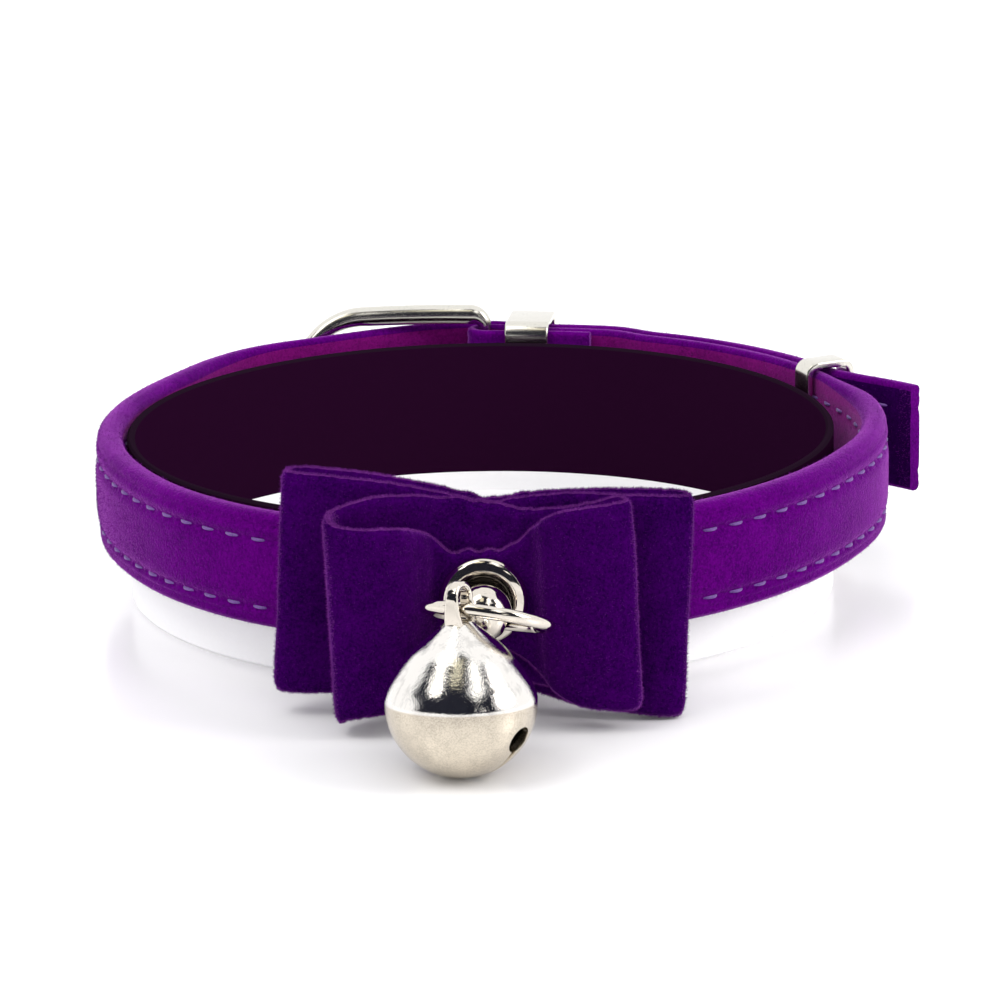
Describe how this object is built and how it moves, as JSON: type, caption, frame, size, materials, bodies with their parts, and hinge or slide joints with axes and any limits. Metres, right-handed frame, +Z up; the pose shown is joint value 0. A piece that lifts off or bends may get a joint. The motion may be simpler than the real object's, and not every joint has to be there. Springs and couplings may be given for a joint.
{
  "type": "pet bow tie collar on display band",
  "caption": "Padded velvet cat collar with pin buckle, stacked ribbon bows, ball stud and jingle bell, standing round a plain display band.",
  "frame": {"origin": "middle of the footprint, at the surface that the display band stands on", "axes": "+Z up, the bows and the bell face -Y, the buckle is at +Y"},
  "size_m": [0.0746, 0.1012, 0.0209],
  "materials": {
    "velvet_strap": "short-pile purple velvet, padded, with two rows of lilac stitching",
    "velvet_ribbon": "deep purple velvet ribbon with lighter cut edges",
    "nickel": "bright polished nickel plating with fine scratches",
    "display_plastic": "plain pale display band, dark inside"
  },
  "bodies": {
    "root": {"strap": "velvet_strap", "bow_back": "velvet_ribbon", "bow_front": "velvet_ribbon", "buckle_frame": "nickel", "buckle_prong": "nickel", "keeper_near": "nickel", "keeper_far": "nickel", "stud": "nickel", "stud_washer": "nickel", "jump_ring": "nickel", "bell": "nickel", "bell_clapper": "nickel", "display_band": "display_plastic"}
  },
  "joints": []
}
